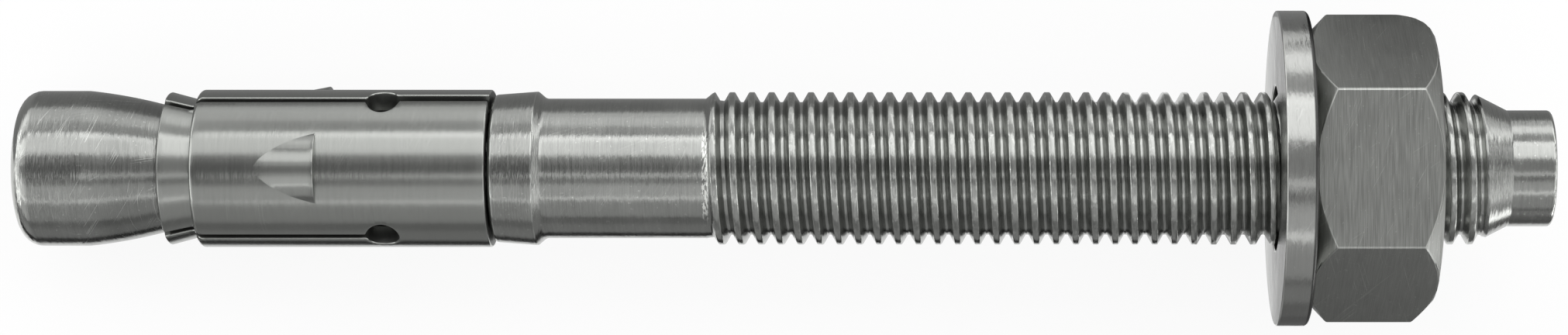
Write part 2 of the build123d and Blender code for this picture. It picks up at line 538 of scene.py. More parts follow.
def number_layer(mesh, name):
    """The mesh's layer of that name, with a number for each point."""
    return mesh.verts.layers.float.get(name) or mesh.verts.layers.float.new(name)


def loft(mesh, rings, wear_and_painted_light, closed=False):
    """Faces between rings of points, each with its wear and painted light. A ring of one point is a pole.
    """
    worn = number_layer(mesh, "worn")
    made = []
    for points, values in zip(rings, wear_and_painted_light):
        values = values if isinstance(values, list) else [values] * len(points)
        made.append([mesh.verts.new(point) for point in points])
        for vert, value in zip(made[-1], values):
            vert[worn] = value
    pairs = list(zip(made, made[1:]))
    if closed:
        pairs.append((made[-1], made[0]))
    for first, second in pairs:
        count = max(len(first), len(second))
        for i in range(count):
            j = (i + 1) % count
            corners = [first[i % len(first)], first[j % len(first)]]
            corners += [second[j % len(second)], second[i % len(second)]]
            mesh.faces.new(list(dict.fromkeys(corners)))


def revolve(mesh, outline, closed=False):
    """Turns an outline about the anchor's axis. A point on the axis becomes a pole."""
    rings = [ring(p.x, p.y) if p.y > MERGE_DISTANCE else [Vector((p.x, 0, 0))] for p in outline]
    loft(mesh, rings, [p.z for p in outline], closed)


def add_piece(name, mesh, body, node, material):
    """The object of a piece: smooth, closed, facing outwards, laid on its node and riding its body."""
    bmesh.ops.remove_doubles(mesh, verts=mesh.verts, dist=MERGE_DISTANCE)
    bmesh.ops.dissolve_degenerate(mesh, dist=MERGE_DISTANCE / 10, edges=mesh.edges)
    bmesh.ops.recalc_face_normals(mesh, faces=mesh.faces)
    open_edges = [edge for edge in mesh.edges if not edge.is_manifold]
    if open_edges:
        where = [edge.verts[0].co.to_tuple(5) for edge in open_edges[:4]]
        raise RuntimeError(f"{name} isn't closed: {len(open_edges)} open edges, such as at {where}")
    mesh.transform(ANCHOR)
    for face in mesh.faces:
        face.smooth = True
        face.material_index = 0
    data = bpy.data.meshes.new(name)
    mesh.to_mesh(data)
    mesh.free()
    data.materials.clear()
    data.materials.append(material)
    rough = new_object(name + " rough", data)
    modifier = rough.modifiers.new("Flat faces stay flat", "WEIGHTED_NORMAL")
    modifier.weight = FLATNESS
    modifier.keep_sharp = True
    graph = bpy.context.evaluated_depsgraph_get()
    finished = bpy.data.meshes.new_from_object(rough.evaluated_get(graph))
    bpy.data.objects.remove(rough)
    bpy.data.meshes.remove(data)
    finished.name = name
    piece = new_object(name, finished)
    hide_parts(node)
    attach(piece, body)
    return piece


# ---- bolt ----


def flare(bolt, steps=12):
    """Points of the hollow flare, from the end of the land to the straight taper."""
    points = []
    for i in range(steps + 1):
        lean = bolt.flare_start + (bolt.cone_angle - bolt.flare_start) * i / steps
        drop = bolt.flare_radius * (cos(bolt.flare_start) - cos(lean))
        reach = bolt.flare_radius * (sin(lean) - sin(bolt.flare_start))
        points.append((bolt.head_land + reach, bolt.head_radius - drop))
    return points


def head_outline(bolt):
    """Cone, neck, collar and shank, from the flat end to the thread."""
    curve = flare(bolt)
    top_x, top_r = curve[-1]
    neck_x = top_x + (top_r - bolt.neck_radius) / tan(bolt.cone_angle)
    collar_end = bolt.collar_start + bolt.collar_length
    shank_start = collar_end + bolt.collar_chamfer
    corners = [(0, 0, 0), (0, bolt.head_radius, bolt.head_edge)]
    corners += [(x, r, 0) for x, r in curve]
    corners += [
        (neck_x, bolt.neck_radius, 0),
        (bolt.collar_start, bolt.neck_radius, bolt.collar_foot),
        (bolt.collar_start, bolt.collar_front, bolt.collar_edge),
        (collar_end, bolt.collar_back, bolt.collar_rim),
        (shank_start, bolt.shank_radius, bolt.shank_foot),
        (bolt.thread_start, bolt.shank_radius, 0),
    ]
    return rounded(corners)


def point_radius(bolt, thread, x):
    """Radius of the point's taper at a place behind the thread."""
    return thread.crest_radius - (x - bolt.thread_end) * tan(bolt.point_angle)


def tail_outline(bolt, thread, start):
    """Point and hammer pin, from the thread to the far end."""
    pin_start = bolt.thread_end + (thread.crest_radius - bolt.pin_radius) / tan(bolt.point_angle)
    corners = [
        (start, point_radius(bolt, thread, start), 0),
        (pin_start, bolt.pin_radius, bolt.pin_foot),
        (BOLT.end, bolt.pin_radius, bolt.pin_edge),
        (BOLT.end, 0, 0),
    ]
    return rounded(corners)


# ---- clip ----


class Strip:
    """The clip's strip, unrolled.

    s runs round the clip at its body's radius, and q along its outline from the lip.
    """

    segments = 3
    slot_angle = radians(60)
    seam_slot = -radians(60)
    barb_angles = (0, radians(129), radians(238.5))
    # the mesh: its columns and rows, the least distance between its points, the tolerance of its
    # triangles, the steps round a relief hole, and how far behind its cut edge a barb starts to rise
    column = 0.2 * MM
    row = 0.4 * MM
    spacing = 0.09 * MM
    tolerance = 1e-9
    hole_steps = 36
    barb_line = 0.002 * MM
    # share of the cut edge's rounding that is brightened, partly as wear and partly as a painted
    # highlight
    wear_and_highlight_share = 0.9
    # how much of a barb's width the lines behind its cut edge take, short of its outline
    inner_share = 0.995
    # a barb that rises less than this lies level with the strip
    level = 0.00002 * MM
    # share of the way to the shoulder at which the bore starts
    bore_share = 0.7
    # where the rounding of a cut edge has points. The wall is partly inside the cut just below it, and
    # wholly so from this many roundings deep
    edge_turns = (radians(22), radians(45), radians(68))
    cut_start = 0.7
    cut_depth = 1.4

    def __init__(self, clip, bolt):
        self.clip = clip
        self.edge = clip.edge
        lean = bolt.cone_angle
        self.front = CLIP.start + clip.lip_wall * sin(lean)
        self.step = self.front + clip.lip_length
        foot = clip.lip_radius - clip.lip_length * tan(lean)
        self.outline = rounded([
            (self.front, clip.lip_radius, 0),
            (self.step, foot, clip.step_foot),
            (self.step, clip.radius, clip.step_rounding),
            (CLIP.end, clip.radius, 0),
        ])
        self.stations = [0]
        for before, after in zip(self.outline, self.outline[1:]):
            self.stations.append(self.stations[-1] + (after - before).to_2d().length)
        self.length = self.stations[-1]
        self.body = self.length - (CLIP.end - self.step)
        inner_front = clip.lip_radius - clip.lip_wall * cos(lean)
        bore_start = CLIP.start + (inner_front - CLIP.inner) / tan(lean)
        self.inside = [
            (0, CLIP.start, inner_front),
            (self.bore_share * self.body, bore_start, CLIP.inner),
            (self.length, CLIP.end, CLIP.inner),
        ]
        self.hole = self.body + clip.slot_length
        self.barb_edge = self.body + clip.barb_position

    def outer(self, q):
        """Place, radius, and wear and painted highlight of the outer surface, carried on straight past
        both ends.
        """
        last = len(self.stations) - 2
        i = next((i for i in range(last) if q < self.stations[i + 1]), last)
        part = (q - self.stations[i]) / (self.stations[i + 1] - self.stations[i])
        return self.outline[i].lerp(self.outline[i + 1], part)

    def inner(self, q):
        """Place and radius of the bore, carried on straight past both ends."""
        i = 0 if q < self.inside[1][0] else 1
        (q0, x0, r0), (q1, x1, r1) = self.inside[i], self.inside[i + 1]
        part = (q - q0) / (q1 - q0)
        return Vector((x0 + (x1 - x0) * part, r0 + (r1 - r0) * part))

    def barb_center(self, q):
        """How far a barb's round back lies from the axis, at its height along the strip."""
        clip = self.clip
        risen = max(0, 1 - (self.barb_edge - q) / clip.barb_length)
        return clip.radius - clip.barb_radius + clip.barb_height * risen**clip.barb_hollow

    def barb_half_angle(self, q):
        """Angle from the barb's middle to where its back leaves the strip."""
        center = self.barb_center(q)
        if center * ALMOST_MORE <= self.clip.radius - self.clip.barb_radius:
            return 0
        cosine = self.clip.radius**2 + center**2 - self.clip.barb_radius**2
        return acos(max(-1, min(1, cosine / (2 * self.clip.radius * center))))

    def raised(self, s, q):
        """Place, radius, and wear and painted highlight of the outer surface with the barbs on it."""
        place, radius, worn = self.outer(q)
        back = self.barb_edge - q
        if self.barb_line < back < self.clip.barb_length:
            turns = ((s / self.clip.radius - middle + pi) % tau - pi for middle in self.barb_angles)
            off = min(turns, key=abs)
            center = self.barb_center(q)
            under = self.clip.barb_radius**2 - (center * sin(off)) ** 2
            if under > 0:
                bend = self.clip.barb_rounding
                drop = bend - sqrt(bend**2 - (bend - back) ** 2) if back < bend else 0
                risen = center * cos(off) + sqrt(under) - drop
                if risen > radius:
                    radius = risen
                    worn = 1 if self.barb_line * 2 < back < bend * self.wear_and_highlight_share else 0
        return Vector((place, radius, worn))

    def point(self, s, q, depth=0.0, wall=1.0):
        """A point of the strip in the anchor's frame, at a depth inwards from a share of the wall."""
        outer = self.raised(s, q).to_2d()
        inner = self.inner(q)
        thickness = (outer - inner).length
        x, r = outer.lerp(inner, depth / thickness + (1 - wall))
        turn = s / self.clip.radius
        return Vector((x, -r * sin(turn), r * cos(turn)))

    # the outline of the flat strip, short of its real edges by their rounding

    def hole_arc(self, center, start, end, count):
        """Points round a relief hole, at angles from its front towards greater s."""
        across = self.clip.hole_width / 2 + self.edge
        along = self.clip.hole_length / 2 + self.edge
        angles = [start + (end - start) * i / count for i in range(count + 1)]
        return [(center + across * sin(a), self.hole - along * cos(a)) for a in angles]

    def boundary(self):
        """The strip's edge, once round, with the slots and relief holes as notches in its front."""
        clip = self.clip
        radius = clip.radius
        half_slot = clip.slot_width / 2 + self.edge
        across = clip.hole_width / 2 + self.edge
        mouth = asin(half_slot / across)
        front, back = self.edge, self.length - self.edge
        seam_near = clip.seam_width / 2 - clip.seam_offset + self.edge
        seam_far = clip.seam_width / 2 + clip.seam_offset + self.edge
        low = radius * self.seam_slot
        high = low + radius * tau
        points = [(low + half_slot, front)]
        for i in range(self.segments - 1):
            center = radius * (self.slot_angle + i * tau / self.segments)
            points += [(center - half_slot, front)]
            points += self.hole_arc(center, -mouth, mouth - tau, self.hole_steps)
            points += [(center + half_slot, front)]
        points += [(high - half_slot, front)]
        half = self.hole_steps // 2
        points += self.hole_arc(high, -mouth, asin(seam_far / across) - pi, half)
        points += [(high - seam_far, back), (low + seam_near, back)]
        points += self.hole_arc(low, pi - asin(seam_near / across), mouth, half)
        return self.split([Vector(p) for p in points])

    def split(self, points):
        """Divides the long stretches of a closed outline."""
        dense = []
        for before, after in zip(points, points[1:] + points[:1]):
            run = after - before
            count = max(1, round(abs(run.x) / self.column), round(abs(run.y) / self.row))
            dense += [before.lerp(after, i / count) for i in range(count)]
        return dense

    def barb_lines(self, steps=18, cells=24):
        """Outline and cut edge of each barb, as open lines of points."""

        def cross_line(half, q):
            """A line across a barb, to both sides of its middle."""
            return [(middle - half + 2 * half * j / cells, q) for j in range(cells + 1)]

        lines = []
        bend = self.clip.barb_rounding
        backs = [self.barb_line * 1.5] + [bend * (1 - sin(radians(a))) for a in (60, 30, 0)]
        for turn in self.barb_angles:
            middle = self.clip.radius * turn
            reach = [self.clip.barb_length * (1 - (j / steps) ** 2) for j in range(steps)]
            rise = [self.barb_edge - back for back in (*reach, backs[0])]
            spread = [self.clip.radius * self.barb_half_angle(q) for q in rise]
            side = [(middle - w, q) for w, q in zip(spread, rise)]
            other = [(middle + w, q) for w, q in zip(spread, rise)]
            lines += [side[::-1] + other[1:], cross_line(spread[-1], self.barb_edge)]
            for back in backs:
                q = self.barb_edge - back
                share = 1 if back == backs[0] else self.inner_share
                lines.append(cross_line(self.clip.radius * self.barb_half_angle(q) * share, q))
        return [[Vector(p) for p in line] for line in lines]

    def triangles(self):
        """The flat strip as points and triangles, with its boundary first, and the edges of the barbs."""
        boundary = self.boundary()
        points = list(boundary)
        edges = []
        for line in self.barb_lines():
            first = len(points)
            points += line
            edges += [(first + i, first + i + 1) for i in range(len(line) - 1)]
        taken = KDTree(len(points))
        for i, p in enumerate(points):
            taken.insert(p.to_3d(), i)
        taken.balance()
        bends = [q for q in self.stations if self.edge < q < self.length - self.edge]
        plain = [i * self.row for i in range(1, int(self.length / self.row))]
        rows = sorted(bends + [q for q in plain if all(abs(q - b) > self.row / 2 for b in bends)])
        left = min(p.x for p in boundary)
        right = max(p.x for p in boundary)
        columns = round((right - left) / self.column)
        grid = [Vector((left + (right - left) * i / columns, q)) for q in rows for i in range(1, columns)]
        points += [p for p in grid if taken.find(p.to_3d())[2] > self.spacing]
        outline = [list(range(len(boundary)))]
        made = delaunay_2d_cdt(points, edges, outline, 1, self.tolerance)
        flat, _, faces, origins, _, _ = made
        return flat, faces, origins, boundary


def clip_mesh(clip, bolt):
    """The rolled clip: its outer skin with the barbs, its bore, and a rounded wall along its edge."""
    strip = Strip(clip, bolt)
    flat, faces, origins, boundary = strip.triangles()
    mesh = bmesh.new()
    worn, cut = number_layer(mesh, "worn"), number_layer(mesh, "cut")

    def vert(s, q, wear_and_painted_light=0, inside=0, **place):
        made = mesh.verts.new(strip.point(s, q, **place))
        made[worn], made[cut] = wear_and_painted_light, inside
        return made

    outer = [vert(p.x, p.y, strip.raised(p.x, p.y).z) for p in flat]
    # the bore is marked as inside a cut, so the steel darkens it with painted shade
    inner = [vert(p.x, p.y, inside=1, wall=0) for p in flat]
    for face in faces:
        mesh.faces.new([outer[i] for i in face])
        mesh.faces.new([inner[i] for i in reversed(face)])
    lift = [strip.raised(p.x, p.y).y - strip.outer(p.y).y for p in flat]
    # the lines where a barb leaves the strip are sharp
    mesh.verts.index_update()
    for edge in mesh.edges:
        if all(vert.index < len(flat) and lift[vert.index] < strip.level for vert in edge.verts):
            rise = [max(lift[vert.index] for vert in face.verts) for face in edge.link_faces]
            edge.smooth = not min(rise) < strip.level < max(rise)
    count = len(boundary)
    placed = {source: i for i, sources in enumerate(origins) for source in sources if source < count}
    rim = [placed[i] for i in range(count)]
    # the wall's rows: how far out, how far in from the outer or the inner skin, wear and painted
    # highlight, and share of a cut, which the steel darkens partly as a cut finish and partly as painted
    # shade
    e = strip.edge
    path = [(e * sin(a), e * (1 - cos(a)), 1, 1, 0) for a in strip.edge_turns]
    path += [(e, e, 1, 0, strip.cut_start), (e, strip.cut_depth * e, 1, 0, 1), (e, -e, 0, 0, 1)]
    runs = [boundary[(i + 1) % count] - boundary[i - 1] for i in range(count)]
    outwards = [Vector((run.y, -run.x)).normalized() for run in runs]
    walls = [[outer[i] for i in rim]]
    for off, depth, wall, wear_and_painted_light, inside in path:
        row = (p + out * off for p, out in zip(boundary, outwards))
        walls.append([vert(p.x, p.y, wear_and_painted_light, inside, depth=depth, wall=wall) for p in row])
    walls.append([inner[i] for i in rim])
    for first, second in zip(walls, walls[1:]):
        for i in range(count):
            mesh.faces.new([first[i - 1], second[i - 1], second[i], first[i]])
    return mesh


# ---- nut ----

# shares of the way across the chamfer that have a ring
CHAMFER_PARTS = (0.3, 0.55, 0.75, 0.88)
# the chamfer's roundings, in shares of their bend: how far the face stops short of the first, how far
# past its edge the first ends, and how far the middle of the second lies behind and inside its corner
FACE_STOP = 3
FIRST_END = 0.25
CORNER_BACK = 0.25
CORNER_IN = 0.2
# where round the nut its soft corner lies, and how far to each side it is whole before it fades
SOFT_CORNER = 1.5 * pi
SOFT_SPREAD = radians(16)


def hexagon(nut, rounding_steps=4, flat_steps=12):
    """Angles, radii, and wear and painted highlight round the nut's section, whose six corners are
    rounded.
    """
    across = NUT.outer * cos(pi / 6)
    tip = nut.corner * (1 / cos(pi / 6) - 1)
    bend_middle = NUT.outer - tip - nut.corner
    half_side = across * tan(pi / 6) - nut.corner * tan(pi / 6)
    angles, radii, wear_and_painted_light = [], [], []
    for side in range(6):
        flat = side * pi / 3
        for i in range(flat_steps):
            off = half_side * sin(pi / 2 * (2 * i / (flat_steps - 1) - 1))
            angles.append(flat + atan2(off, across))
            radii.append(hypot(off, across))
            wear_and_painted_light.append(0)
        for i in range(1, rounding_steps + 1):
            bend = pi / 3 * i / (rounding_steps + 1) - pi / 6
            x = bend_middle + nut.corner * cos(bend)
            y = nut.corner * sin(bend)
            angles.append(flat + pi / 6 + atan2(y, x))
            radii.append(hypot(x, y))
            wear_and_painted_light.append(1)
    return angles, radii, wear_and_painted_light


def chamfer_rings(nut, soft):
    """Rings from the bore's mouth over one face to the flats, and their wear and painted highlight.

    The face is at nothing and the nut beyond. soft gives the share of the soft corner at each angle.
    """
    angles, radii, corners = hexagon(nut)
    circle = nut.chamfer_radius
    bend = nut.chamfer_edge
    steep = nut.chamfer_angle
    round_reach = max(radii) - circle

    def depth(a, r):
        """How far the chamfer lies behind the face, at an angle and a radius."""
        out = max(0, r - circle)
        plain = out * tan(steep)
        soft_depth = nut.soft_corner * (1 - sqrt(max(0, 1 - (out / round_reach) ** 2)))
        return plain + (soft_depth - plain) * soft(a)

    def depth_ring(radii_):
        """A ring on the chamfer."""
        return ring([depth(a, r) for a, r in zip(angles, radii_)], radii_, angles)

    turned = [depth(a, r) for a, r in zip(angles, radii)]
    rings = [
        ring(nut.mouth, NUT.inner),
        ring(0, NUT.inner + nut.mouth),
        ring(0, circle - FACE_STOP * bend, angles),
        depth_ring([circle + FIRST_END * bend] * len(angles)),
    ]
    rings += [depth_ring([circle + (r - circle) * part for r in radii]) for part in CHAMFER_PARTS]
    rings += [
        ring([t - bend * sin(steep) for t in turned], [r - bend * cos(steep) for r in radii], angles),
        ring([t + CORNER_BACK * bend for t in turned], [r - CORNER_IN * bend for r in radii], angles),
        ring([t + bend for t in turned], radii, angles),
    ]
    return rings, [0, 0, 0, 1] + [0] * len(CHAMFER_PARTS) + [0, 1, corners]


def nut_rings(nut):
    """Rings, and their wear and painted highlight, from the bore's near end, over the outside, to its far
    end.
    """

    def soft(a):
        """1 at the soft corner and 0 away from it."""
        return max(0, min(1, 2 - abs((a - SOFT_CORNER + pi) % tau - pi) / SOFT_SPREAD))

    near, wear_and_painted_light = chamfer_rings(nut, lambda a: 0)
    far, far_wear_and_painted_light = chamfer_rings(nut, soft)
    near = [[p + Vector((NUT.start, 0, 0)) for p in points] for points in near]
    far = [[Vector((NUT.end - p.x, p.y, p.z)) for p in points] for points in reversed(far)]
    return near + far, wear_and_painted_light + far_wear_and_painted_light[::-1]


# ---- steel ----

# painted shade on the washer's rim beside the nut: the wear value there is turned negative, so that rim
# is darker where the other rim is brightened
PAINTED_SHADE_RIM = -1.7
# the steels' noises: cells to the millimetre along the anchor and across it, detail, roughness, and
# for scattered spots the two values between which they appear
NOISES = {
    "grain": ((16, 0.3, 0.3), 2, 0.5, None),
    "waves": ((2, 0.5, 0.5), 3, 0.62, None),
    "mottle": ((0.55, 0.4, 0.4), 4, 0.6, None),
    "specks": ((5, 4, 4), 2, 0.5, (0.66, 0.74)),
    "scratch lines": ((17, 0.14, 0.14), 0, 0.5, (0.7, 0.77)),
    "scratch patches": ((0.7, 0.4, 0.4), 1, 0.5, (0.53, 0.62)),
    "burr chips": ((9, 2.8, 2.8), 1, 0.5, (0.45, 0.54)),
    "crest nicks": ((4, 2, 2), 2, 0.5, (0.56, 0.66)),
}
# each direction of the scratches: its lean and turn, the seed of its places and its strength
SCRATCHES = ((0.35, 0.2, 3.1, 1), (-0.4, 1.9, 8.7, 1), (1, 0.6, 5.3, 0.7))
# change of roughness on worn edges, on the burr and inside the clip's cuts
WORN_ROUGH = -0.06
BURR_ROUGH = 0.2
CUT_ROUGH = 0.25
# the burr where the thread starts, whose brightness is partly a painted highlight: how much brighter it
# is, how softly it ends, and where across the anchor it starts to appear, is whole, starts to fade and
# ends
BURR_HIGHLIGHT_SHADE = 1.6
BURR_HIGHLIGHT_FADE = 0.07
BURR_HIGHLIGHT_SIDES = (-3.8, -2.4, 1.6, 2.6)
# millimetres within which the thread's dirt and painted shade, and its wear and painted highlight, appear
# behind the shank and end before the point
THREAD_FADE = (1, 0.3)
# height above the groove's bottom at which its dirt and painted shade are thickest, its least amount, and
# what the mottling adds to that
GRIME_AND_SHADE_HEIGHT = 0.12
GRIME_AND_SHADE_LEAST = 0.6
GRIME_AND_SHADE_PATCHES = 0.8
# how far below the crests the rims start to appear, are whole, start to fade and end; they are brightened
# partly by wear and partly by a painted highlight
RIM_DEPTHS = (0.09, 0.05, 0.02, 0.006)
# how much the rims are brightened: wear and a painted highlight
RIM_HIGHLIGHT_SHADE = 0.3


def anchor_coordinates(nodes):
    """A point's place in the anchor's frame, in millimetres."""
    place = nodes.out("ShaderNodeTexCoord", output="Object")
    inputs = {
        "Vector": place,
        "Location": ANCHOR.translation,
        "Rotation": ANCHOR.to_euler(),
        "Scale": (MM, MM, MM),
    }
    return nodes.out("ShaderNodeMapping", {"vector_type": "TEXTURE"}, inputs)


def stretched(nodes, place, scales):
    """Coordinates with their own scale along and across the anchor."""
    return nodes.out("ShaderNodeVectorMath", {"operation": "MULTIPLY"}, {0: place, 1: scales})


def noise(nodes, place, kind, scales=None):
    """One of the steels' noises, from 0 to 1, with its own scales or others."""
    own_scales, detail, rough, spots = NOISES[kind]
    place = stretched(nodes, place, scales or own_scales)
    inputs = {"Vector": place, "Scale": 1, "Detail": detail, "Roughness": rough}
    made = nodes.out("ShaderNodeTexNoise", None, inputs)
    return made.ramp(*spots) if spots else made


def scratches(nodes, place):
    """Thin straight marks in scattered patches: the peaks of noises drawn out along them."""
    marks = 0
    for lean, turn, seed, strength in SCRATCHES:
        turning = {"Vector": place, "Rotation": (turn, lean, lean), "Location": (seed, seed, 0)}
        turned = nodes.out("ShaderNodeMapping", None, turning)
        lines = noise(nodes, turned, "scratch lines") * noise(nodes, turned, "scratch patches")
        marks = (lines * strength).most(marks)
    return marks


def burr_highlight_patch(nodes, place, start, end):
    """1 on the chipped burr with its painted highlight, between two places along the anchor."""
    along, across, _ = nodes.split(place)
    chips = noise(nodes, place, "burr chips")
    strip = along.band(start - BURR_HIGHLIGHT_FADE, start, end, end + BURR_HIGHLIGHT_FADE)
    return chips * strip * across.band(*BURR_HIGHLIGHT_SIDES)


def thread_marks(nodes, place, mottle, look):
    """Share of dirt and painted shade on the thread's flanks, and the brightness of its rims and nicked
    crests, partly wear and partly a painted highlight.
    """
    root, crest, start, end = look["thread"]
    along, across, up = nodes.split(place)
    radius = (across * across + up * up) ** 0.5
    threaded = along.band(start, start + THREAD_FADE[0], end - THREAD_FADE[1], end)
    flank = radius.band(root, root + GRIME_AND_SHADE_HEIGHT, root + GRIME_AND_SHADE_HEIGHT, crest)
    patchy = GRIME_AND_SHADE_LEAST + GRIME_AND_SHADE_PATCHES * mottle
    grimed_and_shaded = (flank * threaded * look["grime_amount"] * patchy).least(1)
    rim = radius.band(*(crest - depth for depth in RIM_DEPTHS))
    top = radius.ramp(crest - RIM_DEPTHS[2], crest - RIM_DEPTHS[3])
    nicks_and_painted_highlight = noise(nodes, place, "crest nicks")
    # painted highlight, with wear, on the crests' rims and nicks
    rubbed_and_painted_highlight = rim * (RIM_HIGHLIGHT_SHADE + nicks_and_painted_highlight) + nicks_and_painted_highlight * top * RIM_HIGHLIGHT_SHADE
    return grimed_and_shaded, rubbed_and_painted_highlight * threaded * look["nicks_and_painted_highlight"]


def steel(name, colour, look):
    """Bright steel with marks round the anchor's axis. look gives each effect its strength."""
    material, nodes = new_material(name)
    place = anchor_coordinates(nodes)
    along, _, up = nodes.split(place)
    worn = nodes.attribute("worn")
    grain = noise(nodes, place, "grain", look.get("grain_scale"))
    waves = noise(nodes, place, "waves", look.get("wave_scale"))
    mottle = noise(nodes, place, "mottle")
    specks = noise(nodes, place, "specks")
    marks = scratches(nodes, place)
    if "mark_reach" in look:
        start, end, rest = look["mark_reach"]
        marks = marks * (1 - along.ramp(start, end) * (1 - rest))
    if "grain_flats" in look:
        low, high, rest = look["grain_flats"]
        grain = 0.5 + (grain - 0.5) * (rest + abs(up).ramp(low, high) * (1 - rest))

    shade = 1 + (grain - 0.5) * look["grain_shade"] + (mottle - 0.5) * look["mottle_shade"]
    shade = shade + marks * look["mark_shade"] + specks * look["speck_shade"]
    # edges brightened partly by wear and partly by a painted highlight; the washer's rim beside the nut
    # has a negative value, which paints shade there
    shade = shade + worn * look["edge_wear_and_painted_light_shade"]
    rough = look["roughness"] + (grain - 0.5) * look["grain_rough"]
    rough = rough + (mottle - 0.5) * look["mottle_rough"]
    rough = rough + marks * look["mark_rough"] + worn * WORN_ROUGH
    # painted tones: stretches of the bolt darkened or lightened to stand in for how brightly they reflect
    # the lamps
    for start, end, change in look.get("painted_tones", ()):
        shade = shade + along.ramp(start, end) * change
    # the burr at the thread's start: a chipped patch brightened with a painted highlight
    if "burr_highlight" in look:
        burr_highlight = burr_highlight_patch(nodes, place, *look["burr_highlight"])
        shade = shade + burr_highlight * BURR_HIGHLIGHT_SHADE
        rough = rough + burr_highlight * BURR_ROUGH
    # the clip's cut faces and bore are darker: partly a rougher cut finish, partly painted shade in its
    # holes and inside it
    if "cut_finish_and_shade" in look:
        cut = nodes.attribute("cut")
        shade = shade * (1 - cut * look["cut_finish_and_shade"])
        rough = rough + cut * CUT_ROUGH
    if "thread" in look:
        grimed_and_shaded, rubbed_and_painted_highlight = thread_marks(nodes, place, mottle, look)
        # the thread's rims and nicks brighten the steel: wear and a painted highlight
        shade = shade + rubbed_and_painted_highlight
    base = nodes.mix_colours(1.0, (*colour, 1), nodes.vector(shade, shade, shade), "MULTIPLY")
    # the flanks are mixed towards the dark groove colour: dirt and painted shade
    if "thread" in look:
        base = nodes.mix_colours(grimed_and_shaded, base, (*look["grime"], 1))
    height = waves * look["wave_height"] + grain * look["grain_height"]
    height = height - marks * look["mark_depth"]
    bump = nodes.out("ShaderNodeBump", None, {"Strength": 1.0, "Distance": MM, "Height": height})
    inputs = {"Base Color": base, "Metallic": 1.0, "Roughness": rough, "Normal": bump}
    shader = nodes.out("ShaderNodeBsdfPrincipled", None, inputs)
    nodes.add("ShaderNodeOutputMaterial", None, {"Surface": shader})
    return material


PIECES = ("bolt", "clip", "washer", "nut")
# the strength of each effect on the bolt, the clip, the washer and the nut
EFFECTS = {
    "roughness": (0.2, 0.22, 0.2, 0.4),
    "grain_rough": (0.12, 0.06, 0.08, 0.1),
    "mottle_rough": (0.12, 0.05, 0.08, 0.06),
    "mark_rough": (0.08, 0.02, 0.04, 0.03),
    "grain_shade": (0.3, 0.1, 0.14, 0.95),
    "mottle_shade": (0.35, 0.08, 0.14, 0.12),
    "mark_shade": (0.45, 0.05, 0.1, 0.25),
    "speck_shade": (0.3, 0, 0.1, 0.25),
    "edge_wear_and_painted_light_shade": (0.35, 0.2, 0.45, 0.5),
    "wave_height": (0.036, 0.012, 0.03, 0.004),
    "grain_height": (0.001, 0.0005, 0.0008, 0.002),
    "mark_depth": (0.002, 0.0004, 0.0006, 0.0004),
}
# effects that only one or two pieces have, with places in millimetres from the flat end of the cone.
# The bolt's scratches fade behind the cone, and each of its painted tones is a change of shade between
# two
# places: painted shade on the flare and the cone behind it, and a painted highlight on the thread, which
# stand in for how brightly they reflect the lamps. The nut's grain is full on its upper and lower flats,
# and weaker elsewhere
OWN_EFFECTS = {
    "bolt": {
        "wave_scale": (3.6, 0.5, 0.5),
        "mark_reach": (16, 24, 0.25),
        "painted_tones": ((4.5, 6.5, -0.2), (13, 15, 0.2), (43.6, 44.4, 0.13), (91.8, 92.6, -0.13)),
        "burr_highlight": (43.36, 43.64),
        "grime_amount": 0.3,
        "nicks_and_painted_highlight": 0.7,
    },
    "clip": {"wave_scale": (2.2, 0.35, 0.35), "cut_finish_and_shade": 0.5},
    "washer": {},
    "nut": {"grain_scale": (15, 0.5, 0.5), "grain_flats": (8.2, 8.45, 0.45)},
}


def piece_steel(name, piece, settings):
    """The steel of one piece, which on the bolt knows where the thread is."""
    look = {effect: strengths[PIECES.index(piece)] for effect, strengths in EFFECTS.items()}
    look.update(OWN_EFFECTS[piece])
    if piece == "bolt":
        bolt, thread = settings.bolt, settings.thread
        sizes = (thread.root_radius, thread.crest_radius, bolt.thread_start, bolt.thread_end)
        look["thread"] = [size / MM for size in sizes]
        look["grime"] = settings.colours.grime
    return steel(name, getattr(settings.colours, piece), look)


# ---- studio ----

# each soft box is a long strip beside the anchor: its two edges, in degrees from the top towards greater
# Y, and its brightness between each two box ends. Those stretches are what the barbs, the cone, the clip,
# the shank with its thread, the nut with the pin, and the point reflect
BOX_ENDS = (-0.5, -0.095, -0.035, -0.006, 0.085, 0.32, 0.6)
SOFT_BOXES = (
    ("upper rim box", 72.5, 92, (1.35, 0.8, 0.92, 1.15, 1.8, 1.8)),
    ("upper low box", 59, 72, (1.0, 0.55, 0.36, 0.6, 0.42, 0.35)),
    ("key edge", 46.5, 54.5, (0.85, 1.65, 2.7, 2.45, 2.25, 1.15)),
    ("key box", 20, 46.5, (1.5, 1.2, 1.48, 1.48, 1.88, 0.6)),
    ("key step", 7, 19.5, (0.55, 0.05, 0.2, 0.3, 0.25, 0.08)),
    ("middle box", -7, 7, (0.17, 0, 0.03, 0.15, 0.27, 0.45)),
    ("near fill", -14.5, -8, (0.25, 0, 1.2, 1.1, 1.15, 1.2)),
    ("low fill", -25, -15, (0.55, 0.05, 0.18, 0.2, 0.06, 0.8)),
    ("wide fill", -45, -25, (0.85, 0.52, 0.66, 0.66, 0.57, 0.95)),
    ("fill edge", -53, -46.5, (1.75, 0.7, 1.45, 1.3, 1.7, 1.9)),
    ("lower low box", -87, -54, (0.5, 0.28, 0.36, 0.37, 0.37, 0.78)),
)
BOX_DISTANCE = 0.3
